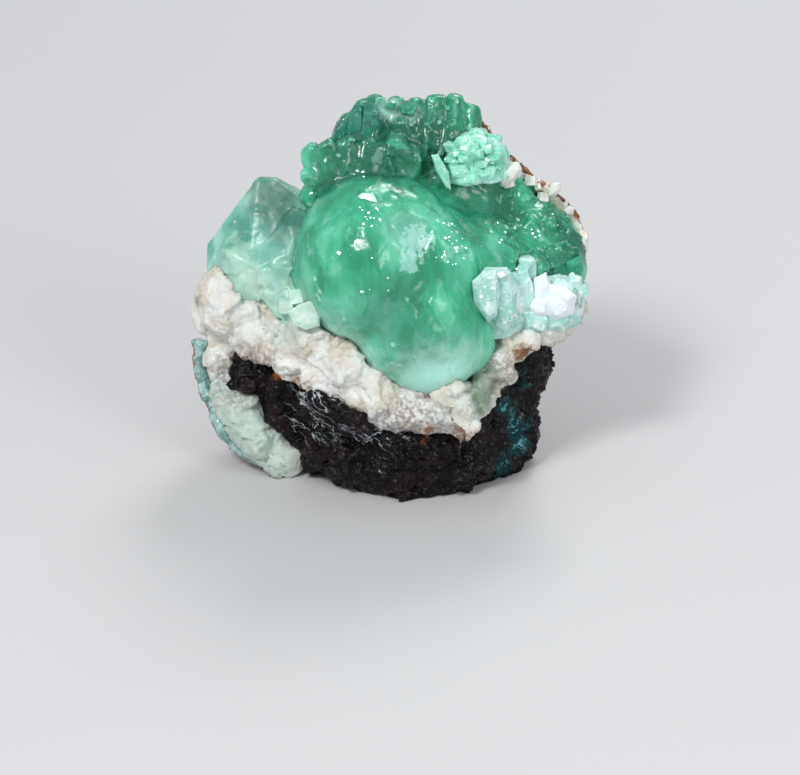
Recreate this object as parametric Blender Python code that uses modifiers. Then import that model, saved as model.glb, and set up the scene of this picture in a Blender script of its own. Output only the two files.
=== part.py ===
# Green apophyllite on its basalt matrix, a palm-sized mineral specimen.
# Blender 4.5, metres, +Z up. Places and sizes below are in millimetres; mm turns them into metres.
# While it is built, y = 0 is the front edge of the base. At the end everything is moved so that
# the origin is the middle of the specimen's flat base.

import math
import random

import bmesh
import bpy
from mathutils import Euler, Matrix, Vector, noise

mm = 0.001

# Driving dimensions of the specimen
# Pieces are cut clear of each other by this, a little more than the least gap, for the cutters' flat faces
swelling = 0.7
seed = 11

# The places that the blades of the crest and of the fan point back to
crest_root = Vector((2.0, 24.0, 42.0))
fan_root = Vector((14.0, 27.0, 38.0))

# Lumps are written as (middle, half sizes) or (middle, half sizes, turn in degrees).
# The great ball leans to the right, and a shoulder runs down from its top to the right.
ball_lumps = [
    ((-3.6, 13.0, 46.5), (14.4, 16.5, 17.0)),
    ((-0.6, 15.0, 51.3), (13.0, 14.0, 11.5)),
    ((6.0, 12.0, 36.4), (14.4, 16.5, 14.5)),
    ((10.4, 13.6, 46.0), (17.5, 11.5, 10.0), (0.0, 38.0, 15.0)),
    ((8.8, 4.4, 28.4), (8.4, 7.4, 6.0)),
    ((13.0, 9.5, 32.6), (8.5, 9.0, 9.5)),
    ((17.0, 19.0, 45.0), (10.0, 9.0, 9.5)),
    ((24.0, 18.0, 42.0), (7.4, 7.0, 6.5)),
]

crest_lumps = [
    ((-4.4, 25.0, 60.0), (11.6, 7.4, 7.4)),
    ((4.0, 31.5, 63.0), (13.6, 6.5, 9.8)),
    ((-5.0, 30.0, 64.0), (6.0, 5.5, 8.0)),
    ((11.0, 30.0, 60.0), (7.4, 6.5, 7.0)),
]

# Tips of the crest's blades, back row first, then the lower ledge
back_tips = [
    (-11.3, 28.0, 66.2),
    (-8.6, 29.0, 70.8),
    (-5.6, 29.5, 73.8),
    (-2.6, 30.0, 75.0),
    (1.4, 31.0, 74.0),
    (6.0, 31.5, 73.4),
    (10.4, 31.5, 73.8),
    (14.0, 31.0, 74.4),
    (17.2, 32.0, 71.8),
]
middle_tips = [
    (-7.6, 25.6, 68.4),
    (-3.0, 26.4, 70.6),
    (2.6, 27.2, 70.8),
    (8.4, 28.0, 70.2),
    (13.2, 28.4, 69.4),
]
ledge_tips = [
    (-16.4, 24.0, 65.8),
    (-13.2, 22.2, 67.6),
    (-9.0, 21.5, 68.4),
    (-4.6, 21.5, 68.5),
    (-1.0, 21.5, 67.8),
    (1.6, 22.0, 69.6),
    (5.6, 22.8, 66.8),
]
spike_tips = [
    (-17.6, 18.5, 60.0),
    (-15.8, 17.5, 61.0),
    (-17.0, 20.5, 62.6),
]

fan_lumps = [
    ((10.0, 27.0, 54.0), (9.0, 7.0, 7.5)),
    ((20.0, 29.0, 49.0), (10.0, 7.0, 10.0)),
    ((29.0, 27.0, 45.0), (8.5, 7.0, 8.0)),
    ((33.0, 24.0, 41.0), (6.5, 6.0, 8.0)),
    ((27.0, 23.0, 38.0), (9.0, 7.0, 6.0)),
]
fan_tips = [
    (30.0, 21.5, 50.6),
    (26.6, 22.0, 50.0),
    (33.4, 23.0, 50.6),
    (37.0, 24.5, 47.6),
    (39.0, 26.0, 44.0),
    (38.6, 22.5, 40.4),
    (38.2, 20.0, 37.4),
    (35.0, 20.5, 44.6),
    (31.6, 18.6, 43.6),
    (22.0, 23.5, 52.6),
]

cluster_lumps = [
    ((17.0, 27.5, 61.5), (6.6, 5.5, 5.6)),
    ((12.4, 26.0, 62.0), (3.4, 3.4, 3.6)),
    ((15.2, 23.4, 59.4), (3.2, 3.2, 3.4)),
    ((19.4, 24.6, 59.0), (3.4, 3.2, 4.0)),
    ((21.4, 27.4, 59.6), (3.0, 3.4, 3.2)),
    ((16.4, 26.6, 65.0), (3.4, 3.4, 3.0)),
]

left_lumps = [
    ((-21.0, 21.5, 41.0), (7.0, 6.5, 7.0)),
    ((-19.0, 18.0, 36.5), (5.0, 5.0, 5.0)),
    ((-27.0, 25.0, 42.0), (7.5, 6.5, 5.0)),
    ((-18.4, 24.0, 46.0), (4.4, 5.4, 6.4)),
]

crust_lumps = [
    ((-30.5, 24.0, 33.0), (8.6, 8.5, 8.2)),
    ((-27.0, 29.0, 38.0), (8.6, 6.0, 6.0)),
    ((-36.0, 23.6, 30.6), (3.8, 4.0, 4.4)),
    ((-33.0, 25.0, 38.2), (3.2, 4.0, 3.6)),
    ((-24.0, 20.0, 28.4), (7.5, 7.5, 6.0)),
    ((-17.4, 14.0, 26.6), (7.5, 7.5, 5.4)),
    ((-9.6, 8.6, 23.4), (7.5, 6.5, 5.2)),
    ((-2.6, 5.0, 21.0), (7.0, 6.0, 5.2)),
    ((4.4, 2.8, 19.2), (7.0, 5.6, 5.0)),
    ((12.0, 1.4, 20.6), (5.6, 5.4, 5.6)),
    ((15.0, -1.2, 17.4), (2.8, 3.4, 2.6)),
    ((18.4, 4.4, 21.0), (3.2, 4.2, 3.6)),
    ((22.2, 8.0, 25.8), (3.2, 4.4, 3.8)),
    ((25.8, 11.0, 29.8), (3.4, 4.6, 3.2)),
    ((31.0, 15.0, 31.4), (5.0, 5.0, 3.0)),
    ((35.6, 17.0, 33.2), (3.4, 4.4, 3.0)),
    ((1.0, 20.0, 27.0), (27.0, 13.0, 9.0)),
    ((-13.0, 11.5, 31.6), (6.5, 7.0, 7.0)),
    ((-6.6, 6.6, 26.4), (6.5, 6.0, 5.6)),
]
slab_lumps = [
    ((-34.0, 22.0, 21.0), (3.8, 5.0, 5.0)),
    ((-32.0, 19.0, 14.0), (4.2, 5.2, 5.6)),
    ((-28.6, 16.0, 10.8), (4.4, 5.0, 6.0)),
    ((-25.6, 14.2, 6.8), (4.6, 5.0, 5.4)),
    ((-20.6, 12.6, 3.8), (4.6, 4.2, 3.8)),
]

basalt_lumps = [
    ((3.0, 20.0, 9.0), (24.0, 19.5, 15.0)),
    ((6.0, 15.6, 6.0), (18.0, 17.6, 12.0)),
    ((20.0, 19.0, 6.0), (10.0, 10.0, 10.0)),
    ((17.0, 21.0, 16.0), (13.0, 13.5, 16.0)),
    ((25.0, 21.0, 24.0), (8.5, 9.0, 8.0)),
    ((-2.0, 31.0, 20.0), (28.0, 10.5, 21.0)),
    ((-22.0, 27.0, 24.0), (14.0, 10.0, 16.0)),
    ((-18.0, 20.0, 12.0), (10.0, 9.6, 10.0)),
    ((-24.0, 23.0, 17.0), (7.0, 7.6, 7.0)),
    ((-26.0, 31.0, 34.0), (9.5, 7.0, 8.0)),
    ((6.0, 36.0, 43.0), (27.0, 8.5, 19.0)),
    ((19.0, 35.0, 46.0), (15.0, 6.5, 12.0)),
    ((28.0, 33.6, 41.0), (11.0, 6.0, 11.0)),
    ((6.0, 37.0, 56.0), (12.0, 6.0, 12.0)),
    ((-26.8, 17.0, 18.8), (4.8, 5.2, 3.2)),
    ((-20.6, 12.6, 20.4), (3.6, 4.4, 3.2)),
    ((-12.4, 6.8, 19.0), (5.4, 5.6, 4.2)),
    ((-5.8, 3.0, 16.6), (4.4, 4.4, 3.8)),
]
# Broken faces of the basalt: (a point on the face, the way it looks)
basalt_breaks = [
    ((0.0, 42.0, 30.0), (0.05, 1.0, 0.06)),
    ((20.0, 40.5, 46.0), (0.35, 1.0, 0.30)),
    ((-14.0, 40.5, 34.0), (-0.45, 1.0, 0.25)),
    ((0.0, 38.5, 4.0), (0.0, 1.0, -0.75)),
    ((-27.0, 30.0, 6.0), (-1.0, 0.45, -0.65)),
    ((25.0, 31.0, 6.0), (1.0, 0.55, -0.35)),
    ((29.5, 16.0, 14.0), (1.0, -0.35, -0.12)),
    ((10.0, 1.4, 4.0), (0.25, -1.0, -0.22)),
]

# The flat faces of the large left crystal: (a point on the face, the way it looks)
left_box = ((-26.0, 26.0, 47.0), (20.0, 17.0, 22.0))
left_faces = [
    ((-25.2, 29.0, 56.9), (0.0, -0.79, 0.61)),
    ((-27.6, 18.0, 42.8), (-0.68, -0.54, 0.49)),
    ((-22.6, 29.0, 57.0), (0.56, 0.10, 0.82)),
    ((-26.6, 29.0, 56.5), (-0.75, 0.40, 0.52)),
    ((-25.0, 33.0, 52.0), (0.0, 0.90, 0.44)),
    ((-15.6, 27.0, 50.0), (0.95, 0.10, 0.25)),
    ((-25.0, 29.0, 57.0), (0.0, 0.10, 1.0)),
]

# Blocky crystals: (middle, sizes, turn in degrees)
left_block = ((-16.4, 13.6, 34.4), (6.0, 5.0, 5.4), (10.0, 12.0, 35.0))
pale_blocks = [
    ((22.6, 11.4, 38.0), (12.0, 9.0, 11.0), (18.0, -8.0, 14.0)),
    ((27.2, 15.4, 41.6), (3.8, 4.2, 9.6), (8.0, 4.0, 10.0)),
    ((30.6, 14.4, 36.8), (8.0, 7.0, 8.0), (25.0, 10.0, 40.0)),
    ((34.8, 14.4, 37.4), (7.4, 6.6, 7.6), (15.0, 20.0, 15.0)),
    ((36.8, 14.0, 40.6), (2.6, 2.6, 4.4), (0.0, 20.0, 30.0)),
    ((35.6, 14.6, 34.4), (5.0, 5.0, 4.4), (30.0, 0.0, 60.0)),
    ((20.6, 14.0, 41.6), (5.0, 5.0, 4.6), (10.0, -15.0, 35.0)),
]

# The rim's line along the specimen's broken right edge, top to bottom
rim_line = [
    (16.8, 34.0, 68.2),
    (21.6, 33.4, 60.6),
    (26.0, 33.0, 57.2),
    (31.0, 32.8, 53.4),
    (36.0, 31.6, 49.4),
    (39.0, 29.6, 43.6),
    (38.6, 27.0, 38.6),
    (36.6, 23.0, 34.6),
]
rim_half = 1.5
rim_blocks = [
    ((23.6, 25.6, 58.0), (5.8, 5.0, 4.4), (15.0, 10.0, 20.0)),
    ((32.0, 27.6, 54.0), (4.0, 4.6, 3.6), (15.0, 10.0, 40.0)),
    ((36.2, 26.8, 49.8), (3.0, 4.2, 2.8), (15.0, 10.0, 10.0)),
    ((38.8, 26.4, 44.8), (2.4, 3.0, 3.8), (15.0, 10.0, 30.0)),
]

# The bluish seam under the crust's left edge, top to bottom
seam_line = [
    (-38.0, 22.6, 24.8),
    (-38.4, 21.8, 20.0),
    (-37.0, 20.0, 15.4),
    (-34.4, 17.6, 10.4),
    (-31.6, 15.4, 6.2),
    (-26.4, 13.4, 3.2),
    (-20.0, 12.2, 1.8),
]
seam_half = 2.0

# How each lumpy piece is made: voxel, faces, width of its bumps, height of its bumps
skins = {
    "apophyllite_ball": (1.0, 900, 7.0, 0.6),
    "apophyllite_crest": (1.0, 300, 4.0, 1.0),
    "apophyllite_fan": (1.0, 360, 4.0, 1.2),
    "apophyllite_cluster": (0.8, 340, 3.0, 0.9),
    "apophyllite_left": (1.0, 220, 3.0, 0.8),
    "stilbite_rim": (0.6, 200, 3.0, 1.0),
    "chalcedony_seam": (0.7, 220, 4.0, 1.0),
    "zeolite_crust": (1.1, 1200, 3.5, 1.3),
    "basalt_matrix": (1.4, 1100, 7.0, 2.0),
}

# Rows of blades: width, thickness, length, twist in degrees
blades = {
    "back": (6.6, 3.4, 13.0, 0.0),
    "middle": (8.0, 3.4, 10.0, 10.0),
    "ledge": (6.6, 3.6, 10.0, 0.0),
    "spike": (2.4, 1.6, 8.0, 30.0),
    "fan": (6.0, 3.6, 12.0, 0.0),
}
# The cluster's single pale blade: its tip, the place it points back to, its width, thickness, length, twist
cluster_blade = ((8.4, 25.0, 65.6), (13.0, 22.0, 56.0), 2.6, 1.4, 10.0, 20.0)

# The crust and the seam stand this much above the table
seam_height = 0.4

# The pieces in the order in which each is cut clear of those before it, and the faces of its cutter
cutting_order = {
    "apophyllite_pale": 0,
    "apophyllite_ball": 220,
    "apophyllite_cluster": 800,
    "apophyllite_crest": 900,
    "apophyllite_fan": 1100,
    "apophyllite_left": 1100,
    "stilbite_rim": 1400,
    "chalcedony_seam": 1400,
    "zeolite_crust": 1500,
    "basalt_matrix": 2100,
}

# Colours, roughness
finishes = {
    "basalt_matrix": ((0.035, 0.028, 0.030), 0.45),
    "zeolite_crust": ((0.80, 0.76, 0.68), 0.55),
    "apophyllite_ball": ((0.07, 0.48, 0.28), 0.15),
    "apophyllite_crest": ((0.06, 0.36, 0.24), 0.15),
    "apophyllite_fan": ((0.12, 0.45, 0.29), 0.15),
    "apophyllite_cluster": ((0.25, 0.62, 0.45), 0.20),
    "apophyllite_left": ((0.18, 0.42, 0.34), 0.15),
    "apophyllite_pale": ((0.62, 0.78, 0.78), 0.12),
    "stilbite_rim": ((0.82, 0.76, 0.64), 0.50),
    "chalcedony_seam": ((0.30, 0.50, 0.46), 0.20),
}


def clear_scene():
    for thing in list(bpy.data.objects):
        bpy.data.objects.remove(thing, do_unlink=True)


def make_collection(name):
    collection = bpy.data.collections.new(name)
    bpy.context.scene.collection.children.link(collection)
    return collection


def add_object(name, form, collection):
    mesh = bpy.data.meshes.new(name)
    form.to_mesh(mesh)
    form.free()
    thing = bpy.data.objects.new(name, mesh)
    collection.objects.link(thing)
    return thing


# Replaces an object's mesh by what its modifiers make of it
def settle(thing):
    bpy.context.view_layer.update()
    graph = bpy.context.evaluated_depsgraph_get()
    mesh = bpy.data.meshes.new_from_object(thing.evaluated_get(graph))
    thing.modifiers.clear()
    thing.data = mesh
    return thing


def placing(middle, sizes, turn=(0.0, 0.0, 0.0)):
    angles = Euler([math.radians(a) for a in turn])
    move = Matrix.Translation(Vector(middle) * mm)
    stretch = Matrix.Diagonal(Vector(sizes) * mm).to_4x4()
    return move @ angles.to_matrix().to_4x4() @ stretch


# Cuts a body with a plane and closes the cut
def slice_off(form, point, normal):
    everything = form.verts[:] + form.edges[:] + form.faces[:]
    cut = bmesh.ops.bisect_plane(
        form,
        geom=everything,
        dist=0.00001,
        plane_co=point,
        plane_no=normal,
        clear_outer=True,
    )
    edges = [item for item in cut["geom_cut"] if isinstance(item, bmesh.types.BMEdge)]
    if edges:
        bmesh.ops.holes_fill(form, edges=edges, sides=0)


# Cuts flat faces on a piece, each given as a point on it and the way it looks
def cut_faces(thing, faces):
    form = bmesh.new()
    form.from_mesh(thing.data)
    for point, normal in faces:
        slice_off(form, Vector(point) * mm, Vector(normal))
    form.to_mesh(thing.data)
    form.free()
    return thing


# Gives a piece one closed skin around all its bodies
def reskin(thing, voxel):
    skin = thing.modifiers.new("Skin", "REMESH")
    skin.mode = "VOXEL"
    skin.voxel_size = voxel * mm
    return settle(thing)


def roughened(thing, width, height):
    for point in thing.data.vertices:
        spot = point.co / (width * mm) + Vector((seed, seed, seed))
        point.co += point.normal * height * mm * noise.fractal(spot, 1.0, 2.0, 3)
    return thing


def thinned(thing, faces):
    thin = thing.modifiers.new("Thin", "DECIMATE")
    thin.ratio = min(1.0, faces / (2 * len(thing.data.polygons)))
    return settle(thing)


# One lumpy skin around a list of lumps, with a soft seeded roughness, thinned to a number of faces
def lumpy_mass(name, lumps, breaks=()):
    voxel, faces, width, height = skins[name]
    form = bmesh.new()
    for lump in lumps:
        bmesh.ops.create_icosphere(form, subdivisions=3, radius=1.0, matrix=placing(*lump))
    mass = add_object(name, form, workshop)
    reskin(mass, voxel)
    if breaks:
        cut_faces(mass, breaks)
        reskin(mass, voxel)
    return thinned(roughened(mass, width, height), faces)


# A blade whose tip is at a given place and whose body points back to a root
def blade(name, tip, root, width, thick, length, twist, point=0.45):
    tip = Vector(tip)
    axis = (tip - Vector(root)).normalized()
    form = bmesh.new()
    bmesh.ops.create_cube(form, size=1.0)
    bmesh.ops.scale(form, verts=form.verts, vec=Vector((width, thick, length)))
    bmesh.ops.translate(form, verts=form.verts, vec=Vector((0.0, 0.0, -length / 2)))
    for side in (-1.0, 1.0):
        slice_off(form, Vector((side * width * 0.12, 0.0, 0.0)), Vector((side, 0.0, point)))
    slice_off(form, Vector((0.0, -thick * 0.2, 0.0)), Vector((0.0, -1.0, 0.5)))
    turn = axis.to_track_quat("Z", "Y").to_matrix().to_4x4()
    spin = Matrix.Rotation(math.radians(twist), 4, "Z")
    bmesh.ops.transform(form, verts=form.verts, matrix=Matrix.Translation(tip) @ turn @ spin)
    bmesh.ops.scale(form, verts=form.verts, vec=Vector((mm, mm, mm)))
    bmesh.ops.recalc_face_normals(form, faces=form.faces)
    return add_object(name, form, workshop)


# A blocky crystal: a box with its four top corners cut off by pyramid faces
def block(name, middle, sizes, turn, corner=0.62):
    form = bmesh.new()
    bmesh.ops.create_cube(form, size=1.0)
    for side in ((1, 1), (1, -1), (-1, 1), (-1, -1)):
        normal = Vector((side[0], side[1], 0.9))
        slice_off(form, normal.normalized() * corner, normal)
    bmesh.ops.transform(form, verts=form.verts, matrix=placing(middle, sizes, turn))
    bmesh.ops.recalc_face_normals(form, faces=form.faces)
    return add_object(name, form, workshop)


def boolean(thing, tool, operation):
    change = thing.modifiers.new("Change", "BOOLEAN")
    change.operation = operation
    change.solver = "EXACT"
    change.object = tool
    return settle(thing)


# One clean, slightly swollen skin around pieces, which cuts a neighbour clear of them all
def make_cutter(pieces, voxel=0.7, faces=1600):
    form = bmesh.new()
    for piece in pieces:
        form.from_mesh(piece.data)
    tool = add_object("cutter", form, workshop)
    swell = tool.modifiers.new("Swell", "DISPLACE")
    swell.direction = "NORMAL"
    swell.mid_level = 0.0
    swell.strength = swelling * mm
    settle(tool)
    return thinned(reskin(tool, voxel), faces)


def cut_clear(thing, pieces, faces):
    cutter = make_cutter(pieces, faces=faces)
    boolean(thing, cutter, "DIFFERENCE")
    bpy.data.objects.remove(cutter, do_unlink=True)
    return main_body(thing)


def join(thing, others):
    for other in others:
        boolean(thing, other, "UNION")
        bpy.data.objects.remove(other, do_unlink=True)
    return thing


def islands(form):
    left = set(form.verts)
    while left:
        start = left.pop()
        group = {start}
        edge = [start]
        while edge:
            vert = edge.pop()
            for link in vert.link_edges:
                other = link.other_vert(vert)
                if other not in group:
                    group.add(other)
                    edge.append(other)
        left -= group
        yield group


# Keeps only a piece's main body and drops crumbs that a cut leaves
def main_body(thing):
    form = bmesh.new()
    form.from_mesh(thing.data)
    groups = sorted(islands(form), key=len)
    for group in groups[:-1]:
        bmesh.ops.delete(form, geom=list(group), context="VERTS")
    bmesh.ops.dissolve_degenerate(form, edges=form.edges, dist=0.00002)
    bmesh.ops.triangulate(form, faces=form.faces)
    form.to_mesh(thing.data)
    form.free()
    return thing


def flat_base(thing, height=0.0):
    return cut_faces(thing, [((0.0, 0.0, height), (0.0, 0.0, -1.0))])


# Blades along a row of tips, all growing out of one root
def blade_row(name, tips, root, chance):
    width, thick, length, lean = blades[name]
    row = []
    for number, tip in enumerate(tips):
        twist = lean + chance.uniform(-25.0, 25.0)
        grow = chance.uniform(0.85, 1.2)
        row.append(blade(f"{name}_{number}", tip, root, width * grow, thick * grow, length, twist))
    return row


def make_ball():
    return lumpy_mass("apophyllite_ball", ball_lumps)


def make_crest(chance):
    crest = lumpy_mass("apophyllite_crest", crest_lumps)
    rows = blade_row("back", back_tips, crest_root, chance)
    rows += blade_row("middle", middle_tips, crest_root, chance)
    rows += blade_row("ledge", ledge_tips, crest_root, chance)
    rows += blade_row("spike", spike_tips, crest_root, chance)
    return join(crest, rows)


def make_fan(chance):
    fan = lumpy_mass("apophyllite_fan", fan_lumps)
    return join(fan, blade_row("fan", fan_tips, fan_root, chance))


def make_cluster():
    cluster = lumpy_mass("apophyllite_cluster", cluster_lumps)
    return join(cluster, [blade("pale_blade", *cluster_blade)])


def make_left():
    left = lumpy_mass("apophyllite_left", left_lumps)
    form = bmesh.new()
    bmesh.ops.create_cube(form, size=1.0)
    bmesh.ops.transform(form, verts=form.verts, matrix=placing(*left_box))
    for point, normal in left_faces:
        slice_off(form, Vector(point) * mm, Vector(normal))
    bmesh.ops.recalc_face_normals(form, faces=form.faces)
    crystal = add_object("left_crystal", form, workshop)
    return join(left, [crystal, block("small_block", *left_block)])


def make_pale():
    first, *others = pale_blocks
    pale = block("apophyllite_pale", *first)
    return join(pale, [block(f"pale_{n}", *facts) for n, facts in enumerate(others)])


def tube_along(name, line, half):
    curve = bpy.data.curves.new(name, "CURVE")
    curve.dimensions = "3D"
    curve.resolution_u = 4
    curve.bevel_depth = half * mm
    curve.bevel_resolution = 1
    curve.use_fill_caps = True
    spline = curve.splines.new("NURBS")
    spline.points.add(len(line) - 1)
    for point, place in zip(spline.points, line, strict=True):
        point.co = (*(Vector(place) * mm), 1.0)
    spline.use_endpoint_u = True
    spline.order_u = 3
    rope = bpy.data.objects.new(name, curve)
    workshop.objects.link(rope)
    bpy.context.view_layer.update()
    graph = bpy.context.evaluated_depsgraph_get()
    mesh = bpy.data.meshes.new_from_object(rope.evaluated_get(graph))
    bpy.data.objects.remove(rope, do_unlink=True)
    tube = bpy.data.objects.new(name, mesh)
    workshop.objects.link(tube)
    return tube


# A lumpy band along a line
def band(name, line, half):
    voxel, faces, width, height = skins[name]
    tube = reskin(tube_along(name, line, half), voxel)
    return thinned(roughened(tube, width, height), faces)


def make_rim():
    rim = band("stilbite_rim", rim_line, rim_half)
    return join(rim, [block(f"rim_{n}", *facts) for n, facts in enumerate(rim_blocks)])


def make_seam():
    return band("chalcedony_seam", seam_line, seam_half)


def make_crust():
    return lumpy_mass("zeolite_crust", crust_lumps + slab_lumps)


def make_basalt():
    return lumpy_mass("basalt_matrix", basalt_lumps, basalt_breaks)


def paint(thing):
    colour, roughness = finishes[thing.name]
    material = bpy.data.materials.new(thing.name)
    material.use_nodes = True
    shader = material.node_tree.nodes["Principled BSDF"]
    shader.inputs["Base Color"].default_value = (*colour, 1.0)
    shader.inputs["Roughness"].default_value = roughness
    shader.inputs["Metallic"].default_value = 0.0
    thing.data.materials.clear()
    thing.data.materials.append(material)


# Moves everything so that the origin is the middle of the bottom of the whole box
def centre_on_base(things):
    corners = [v.co for thing in things for v in thing.data.vertices]
    low = [min(c[i] for c in corners) for i in range(3)]
    high = [max(c[i] for c in corners) for i in range(3)]
    shift = Vector(((low[0] + high[0]) / 2, (low[1] + high[1]) / 2, low[2]))
    for thing in things:
        thing.data.transform(Matrix.Translation(-shift))
    return -shift


clear_scene()
specimen = make_collection("green_apophyllite")
workshop = make_collection("workshop")
workshop.hide_render = True


def main():
    chance = random.Random(seed)
    pieces = [
        make_ball(),
        make_crest(chance),
        make_fan(chance),
        make_cluster(),
        make_left(),
        make_pale(),
        make_rim(),
        make_seam(),
        make_crust(),
        make_basalt(),
    ]
    named = {piece.name: piece for piece in pieces}
    order = []
    for name, faces in cutting_order.items():
        if order:
            cut_clear(named[name], order, faces)
        order.append(named[name])
    flat_base(named["basalt_matrix"])
    flat_base(named["zeolite_crust"], seam_height)
    flat_base(named["chalcedony_seam"], seam_height)
    for thing in order:
        main_body(thing)
        workshop.objects.unlink(thing)
        specimen.objects.link(thing)
        paint(thing)
        print(thing.name, len(thing.data.polygons))
    shift = centre_on_base(order)
    print("faces in all", sum(len(thing.data.polygons) for thing in order))
    return shift


moved = main()
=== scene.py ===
import itertools
import math
import random

import bmesh
import bpy
import numpy as np
from mathutils import Matrix, Vector, noise
from mathutils.bvhtree import BVHTree


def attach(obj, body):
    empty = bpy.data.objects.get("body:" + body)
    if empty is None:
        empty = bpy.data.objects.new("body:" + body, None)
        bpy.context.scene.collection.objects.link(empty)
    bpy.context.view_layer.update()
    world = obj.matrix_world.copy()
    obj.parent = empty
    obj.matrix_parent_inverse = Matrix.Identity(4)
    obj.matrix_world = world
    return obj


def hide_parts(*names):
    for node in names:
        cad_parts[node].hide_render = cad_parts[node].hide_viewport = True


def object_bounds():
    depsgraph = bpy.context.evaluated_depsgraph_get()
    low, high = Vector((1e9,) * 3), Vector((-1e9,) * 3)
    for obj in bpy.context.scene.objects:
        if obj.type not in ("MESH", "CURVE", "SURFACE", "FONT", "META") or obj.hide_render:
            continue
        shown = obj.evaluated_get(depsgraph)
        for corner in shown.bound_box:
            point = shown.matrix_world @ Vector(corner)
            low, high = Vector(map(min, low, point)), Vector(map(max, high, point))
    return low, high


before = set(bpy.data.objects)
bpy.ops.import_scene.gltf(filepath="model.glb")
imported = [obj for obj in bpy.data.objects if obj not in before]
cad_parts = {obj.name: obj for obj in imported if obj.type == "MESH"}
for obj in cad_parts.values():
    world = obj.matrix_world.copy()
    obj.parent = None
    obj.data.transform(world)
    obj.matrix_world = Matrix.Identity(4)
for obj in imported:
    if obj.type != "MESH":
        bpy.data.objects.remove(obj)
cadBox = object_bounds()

# Places are in millimetres from the middle of the front edge of the base, as the specimen was
# measured: x to the right, y away from the camera, z up. frontEdge carries them to the frame.
mm = 0.001
frontEdge = Vector((-0.129, -19.067, 0))
seed = 7
noise.seed_set(seed)

view = {
    "imageSize": (800, 775),
    "tilt": math.radians(25),
    "distance": 1000,
    "aim": (2.4, 10.4, 20),
    "sensor": 36,
    "lens": 225,
}
toCamera = Vector((0, -math.cos(view["tilt"]), math.sin(view["tilt"])))
cameraPlace = Vector(view["aim"]) + toCamera * view["distance"]


def at(place):
    return (Vector(place) + frontEdge) * mm


# The direction in which the camera sees a pixel
def sight(x, y):
    width, height = view["imageSize"]
    step = view["sensor"] / view["lens"] / width
    right = Vector((1, 0, 0))
    up = Vector((0, math.sin(view["tilt"]), math.cos(view["tilt"])))
    return right * (x - width / 2) * step + up * (height / 2 - y) * step - toCamera


# The place seen at a pixel, at a depth y in millimetres
def seen(x, y, depth):
    way = sight(x, y)
    return cameraPlace + way * ((depth - cameraPlace.y) / way.y)


# Mesh helpers

coarseVoxel = 0.7  # sizes in millimetres
fillVoxel = 0.6
pressDepth = 1
pixelsPerMm = 5
triesPerBlock = 30
backShare = 0.8  # width of a gem's back against its front


def newPiece(name, form):
    mesh = bpy.data.meshes.new(name)
    form.to_mesh(mesh)
    form.free()
    piece = bpy.data.objects.new(name, mesh)
    bpy.context.scene.collection.objects.link(piece)
    return piece


def settled(piece):
    bpy.context.view_layer.update()
    graph = bpy.context.evaluated_depsgraph_get()
    mesh = bpy.data.meshes.new_from_object(piece.evaluated_get(graph))
    piece.modifiers.clear()
    piece.data = mesh
    return piece


def cadForm(node):
    form = bmesh.new()
    form.from_mesh(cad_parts[node].data)
    bmesh.ops.remove_doubles(form, verts=form.verts, dist=0.000001)
    return form


# Adds a piece's mesh to a form and removes the piece
def absorb(form, piece):
    form.from_mesh(piece.data)
    bpy.data.objects.remove(piece, do_unlink=True)


def remeshed(piece, voxel, rounds, swell):
    remesh = piece.modifiers.new("Skin", "REMESH")
    remesh.mode = "VOXEL"
    remesh.voxel_size = voxel * mm
    if rounds:
        smooth = piece.modifiers.new("Smooth", "SMOOTH")
        smooth.factor = 0.5
        smooth.iterations = rounds
    grow = piece.modifiers.new("Grow", "DISPLACE")
    grow.strength = swell * mm
    grow.mid_level = 0
    return settled(piece)


# A dense, smoothed skin over a CAD node, swollen a little to close the gaps to its neighbours
def denseSkin(name, node, voxel, rounds, swell):
    return remeshed(newPiece(name, cadForm(node)), voxel, rounds, swell)


# Fills the clefts between forms with smooth hollows as wide as the reach
def closed(forms, reach, sink):
    piece = newPiece("closed", forms)
    remeshed(piece, coarseVoxel, 0, reach)
    return remeshed(piece, fillVoxel, 2, -reach - sink)


# Nodes as one form, each smoothed in its own number of rounds
def gather(nodes, voxel, rounds, swell):
    form = bmesh.new()
    for node in nodes:
        absorb(form, denseSkin("part", node, voxel, rounds.get(node, 2), swell))
    return form


# One skin over crystals that grew into each other: their own forms stay crisp, and the clefts
# between them are filled. Nodes in behind only help to fill the clefts.
def grownSkin(name, nodes, behind, look):
    whole = gather(nodes, look["voxel"], look["nodeRounds"], look["swell"])
    for group, reach in look["closings"]:
        form = gather(group, coarseVoxel, {}, 0)
        absorb(form, newPiece("hidden", gather(behind, coarseVoxel, {}, -look["sink"])))
        absorb(whole, closed(form, reach, look["fillSink"]))
    for centre, radius in look["fillers"]:
        spot = Matrix.Translation(at(centre))
        bmesh.ops.create_icosphere(whole, subdivisions=3, radius=radius * mm, matrix=spot)
    return remeshed(newPiece(name, whole), look["voxel"], look["rounds"], 0)


def pointArray(mesh, normals=False):
    values = np.empty(len(mesh.vertices) * 3, np.float32)
    if normals:
        mesh.vertex_normals.foreach_get("vector", values)
    else:
        mesh.vertices.foreach_get("co", values)
    return values.reshape(-1, 3).astype(float)


def setPoints(piece, places):
    piece.data.vertices.foreach_set("co", places.astype(np.float32).ravel())
    piece.data.update()
    return piece


# Moves each point along its normal by a height in millimetres that depends on its place
def carve(piece, height):
    places = pointArray(piece.data)
    normals = pointArray(piece.data, normals=True)
    local = places / mm - np.array(frontEdge)
    rise = np.array([height(Vector(place)) for place in local])
    return setPoints(piece, places + normals * rise[:, None] * mm)


def ripple(place, width, shift=0):
    return noise.noise(place / width + Vector((shift, shift, shift)))


def craggy(place, width, shift=0):
    return 1 - 2 * abs(ripple(place, width, shift))


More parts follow.
